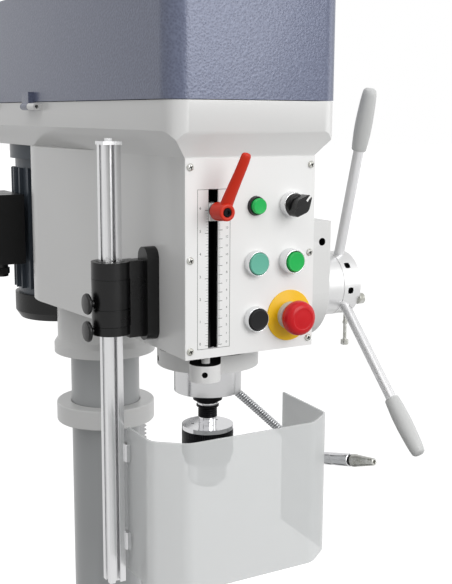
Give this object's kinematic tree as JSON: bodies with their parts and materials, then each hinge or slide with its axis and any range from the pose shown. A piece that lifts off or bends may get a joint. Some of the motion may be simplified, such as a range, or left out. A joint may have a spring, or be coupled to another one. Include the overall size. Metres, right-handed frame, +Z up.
{
  "type": "floor standing drill press",
  "caption": "Floor-standing drill press with base, column, lifting and tilting table, belt drive head, quill with keyed chuck, feed handles, guard and coolant hose.",
  "frame": {"origin": "floor level, at the centre of the four anchor holes in the base", "axes": "+X towards the feed-handle side, +Y back towards the column, +Z up"},
  "size_m": [0.4705, 0.795, 1.686],
  "materials": {
    "cast_paint": "glossy enamel on cast iron",
    "white_paint": "glossy light grey-white enamel on cast iron",
    "column_paint": "light grey enamel on steel tube",
    "hammer_paint": "blue-grey hammered enamel on sheet steel",
    "motor_paint": "dark blue-grey enamel",
    "panel_paint": "white printed sheet steel",
    "zinc_steel": "zinc plated steel",
    "bare_steel": "bare machined steel",
    "ground_steel": "ground steel",
    "dark_steel": "blackened steel",
    "black_oxide": "knurled black oxide steel",
    "chuck_chrome": "bright plated steel",
    "satin_aluminium": "satin aluminium",
    "ground_iron": "ground cast iron",
    "belt_rubber": "black rubber",
    "black_plastic": "black moulded plastic",
    "grey_plastic": "light grey moulded plastic",
    "white_plastic": "white plastic",
    "red_plastic": "red plastic",
    "green_lens": "green lens",
    "green_plastic": "green plastic",
    "teal_plastic": "teal plastic",
    "yellow_plastic": "yellow plastic",
    "clear_sheet": "frosted polycarbonate sheet"
  },
  "bodies": {
    "frame": {"base": "cast_paint", "column_flange": "cast_paint", "flange_bolts": "zinc_steel", "column": "column_paint", "upper_rack_ring": "white_paint", "head_casting": "white_paint", "motor_body": "motor_paint", "motor_fan_cover": "black_plastic", "terminal_box": "black_plastic", "v_belt": "belt_rubber", "spring_housing": "black_plastic", "control_panel": "panel_paint", "panel_screws": "zinc_steel", "button_bezels": "zinc_steel", "estop_base": "yellow_plastic", "guard_bracket": "black_plastic", "coolant_gooseneck": "chuck_chrome", "coolant_nozzle": "chuck_chrome"},
    "rack": {"rack": "bare_steel"},
    "table_bracket": {"table_bracket": "white_paint"},
    "lift_shaft": {"lift_shaft": "bare_steel"},
    "lift_crank": {"lift_crank": "zinc_steel"},
    "crank_grip": {"crank_grip": "black_plastic"},
    "bracket_clamp": {"bracket_clamp_lever": "dark_steel"},
    "table": {"table": "ground_iron"},
    "belt_cover": {"belt_cover": "hammer_paint", "cover_knob": "black_plastic"},
    "motor_pulley": {"motor_pulley": "satin_aluminium"},
    "spindle_pulley": {"spindle_pulley": "satin_aluminium"},
    "quill": {"quill": "ground_steel", "quill_collar": "white_paint", "depth_rod": "white_paint", "quill_bearings": "dark_steel"},
    "depth_stop": {"depth_stop": "white_plastic"},
    "clamp_lever": {"clamp_lever": "red_plastic"},
    "spindle": {"spindle": "ground_steel", "chuck_arbor": "dark_steel", "chuck_body": "chuck_chrome"},
    "chuck_sleeve": {"chuck_sleeve": "black_oxide"},
    "jaw_1": {"jaw_1": "bare_steel"},
    "jaw_2": {"jaw_2": "bare_steel"},
    "jaw_3": {"jaw_3": "bare_steel"},
    "feed": {"feed_shaft": "bare_steel", "feed_drum": "satin_aluminium", "feed_hub": "satin_aluminium", "handle_rods": "satin_aluminium", "handle_grips": "grey_plastic", "feed_lock_pin": "zinc_steel"},
    "light_button": {"light_button": "green_lens"},
    "reverse_button": {"reverse_button": "teal_plastic"},
    "start_button": {"start_button": "green_plastic"},
    "stop_button": {"stop_button": "black_plastic"},
    "selector": {"selector_knob": "black_plastic"},
    "estop_button": {"estop_button": "red_plastic"},
    "guard_drum": {"guard_drum": "black_plastic"},
    "guard_knob_upper": {"guard_knob_upper": "black_plastic"},
    "guard_knob_lower": {"guard_knob_lower": "black_plastic"},
    "guard_post": {"guard_post": "satin_aluminium", "guard_shield": "clear_sheet", "shield_clamp": "satin_aluminium"}
  },
  "joints": [
    {"name": "table_swing", "type": "hinge", "parent": "frame", "child": "rack", "pos_m": [0, 0.165, 0.6], "axis": [0, 0, 1], "range_deg": [-90, 90]},
    {"name": "table_lift", "type": "slide", "parent": "rack", "child": "table_bracket", "axis": [0, 0, 1], "range_m": [-0.3, 0.12]},
    {"name": "lift_shaft_turn", "type": "hinge", "parent": "table_bracket", "child": "lift_shaft", "pos_m": [0.077, 0.165, 0.7], "axis": [0, 1, 0], "range_deg": [-495, 1230]},
    {"name": "lift_crank_turn", "type": "hinge", "parent": "table_bracket", "child": "lift_crank", "pos_m": [0.077, 0.187, 0.7], "axis": [1, 0, 0], "range_deg": [-1230, 495]},
    {"name": "crank_grip_spin", "type": "hinge", "parent": "lift_crank", "child": "crank_grip", "pos_m": [0.144, 0.187, 0.59], "axis": [1, 0, 0], "continuous": true},
    {"name": "bracket_clamp_turn", "type": "hinge", "parent": "table_bracket", "child": "bracket_clamp", "pos_m": [0, 0.263, 0.675], "axis": [1, 0, 0], "range_deg": [-30, 30]},
    {"name": "table_tilt", "type": "hinge", "parent": "table_bracket", "child": "table", "pos_m": [0, -0.1, 0.655], "axis": [0, 1, 0], "range_deg": [-45, 45]},
    {"name": "cover_open", "type": "hinge", "parent": "frame", "child": "belt_cover", "pos_m": [-0.1165, 0.2, 1.53], "axis": [0, -1, 0], "range_deg": [0, 95]},
    {"name": "quill_feed", "type": "slide", "parent": "frame", "child": "quill", "axis": [0, 0, 1], "range_m": [-0.142, 0], "stiffness_N_per_m": 450, "springref_m": 0.7},
    {"name": "feed_turn", "type": "hinge", "parent": "frame", "child": "feed", "pos_m": [0, -0.097, 1.2895], "axis": [1, 0, 0], "range_deg": [0, 311]},
    {"name": "depth_stop_slide", "type": "slide", "parent": "quill", "child": "depth_stop", "axis": [0, 0, 1], "range_m": [0, 0.014]},
    {"name": "clamp_lever_turn", "type": "hinge", "parent": "depth_stop", "child": "clamp_lever", "pos_m": [-0.05, -0.265, 1.4165], "axis": [0, -1, 0], "range_deg": [-60, 25]},
    {"name": "spindle_spin", "type": "hinge", "parent": "quill", "child": "spindle", "pos_m": [0, -0.162, 1.2], "axis": [0, 0, 1], "continuous": true},
    {"name": "spindle_pulley_spin", "type": "hinge", "parent": "frame", "child": "spindle_pulley", "pos_m": [0, -0.162, 1.55], "axis": [0, 0, 1], "continuous": true},
    {"name": "motor_pulley_spin", "type": "hinge", "parent": "frame", "child": "motor_pulley", "pos_m": [0, 0.353, 1.6], "axis": [0, 0, 1], "continuous": true},
    {"name": "chuck_sleeve_turn", "type": "hinge", "parent": "spindle", "child": "chuck_sleeve", "pos_m": [0, -0.162, 1.11], "axis": [0, 0, 1], "range_deg": [0, 720]},
    {"name": "jaw_1_slide", "type": "slide", "parent": "spindle", "child": "jaw_1", "axis": [-0.1355, -0.0782, -0.9877], "range_m": [0, 0.012]},
    {"name": "jaw_2_slide", "type": "slide", "parent": "spindle", "child": "jaw_2", "axis": [0.1355, -0.0782, -0.9877], "range_m": [0, 0.012]},
    {"name": "jaw_3_slide", "type": "slide", "parent": "spindle", "child": "jaw_3", "axis": [0, 0.1564, -0.9877], "range_m": [0, 0.012]},
    {"name": "light_button_press", "type": "slide", "parent": "frame", "child": "light_button", "axis": [0, 1, 0], "range_m": [0, 0.0025], "stiffness_N_per_m": 400},
    {"name": "reverse_button_press", "type": "slide", "parent": "frame", "child": "reverse_button", "axis": [0, 1, 0], "range_m": [0, 0.003], "stiffness_N_per_m": 400},
    {"name": "start_button_press", "type": "slide", "parent": "frame", "child": "start_button", "axis": [0, 1, 0], "range_m": [0, 0.003], "stiffness_N_per_m": 400},
    {"name": "stop_button_press", "type": "slide", "parent": "frame", "child": "stop_button", "axis": [0, 1, 0], "range_m": [0, 0.003], "stiffness_N_per_m": 400},
    {"name": "selector_turn", "type": "hinge", "parent": "frame", "child": "selector", "pos_m": [0.0513, -0.265, 1.4194], "axis": [0, -1, 0], "range_deg": [-90, 0]},
    {"name": "estop_press", "type": "slide", "parent": "frame", "child": "estop_button", "axis": [0, 1, 0], "range_m": [0, 0.0035], "stiffness_N_per_m": 600},
    {"name": "guard_swing", "type": "hinge", "parent": "frame", "child": "guard_drum", "pos_m": [-0.136, -0.177, 1.3], "axis": [0, 0, 1], "range_deg": [-110, 0]},
    {"name": "guard_height", "type": "slide", "parent": "guard_drum", "child": "guard_post", "axis": [0, 0, 1], "range_m": [-0.1, 0.03]},
    {"name": "guard_knob_upper_turn", "type": "hinge", "parent": "guard_drum", "child": "guard_knob_upper", "pos_m": [-0.136, -0.177, 1.307], "axis": [-1, 0, 0], "range_deg": [0, 180]},
    {"name": "guard_knob_lower_turn", "type": "hinge", "parent": "frame", "child": "guard_knob_lower", "pos_m": [-0.136, -0.177, 1.275], "axis": [-1, 0, 0], "range_deg": [0, 180]}
  ],
  "couplings": [
    {"joint": "lift_shaft_turn", "follows": "table_lift", "rad_per_m": -71.429},
    {"joint": "lift_crank_turn", "follows": "table_lift", "rad_per_m": 71.429},
    {"joint": "feed_turn", "follows": "quill_feed", "rad_per_m": -38.095},
    {"joint": "spindle_pulley_spin", "follows": "spindle_spin", "ratio": 1},
    {"joint": "motor_pulley_spin", "follows": "spindle_spin", "ratio": 1.25},
    {"joint": "jaw_1_slide", "follows": "chuck_sleeve_turn", "m_per_rad": 0.00095},
    {"joint": "jaw_2_slide", "follows": "chuck_sleeve_turn", "m_per_rad": 0.00095},
    {"joint": "jaw_3_slide", "follows": "chuck_sleeve_turn", "m_per_rad": 0.00095}
  ]
}
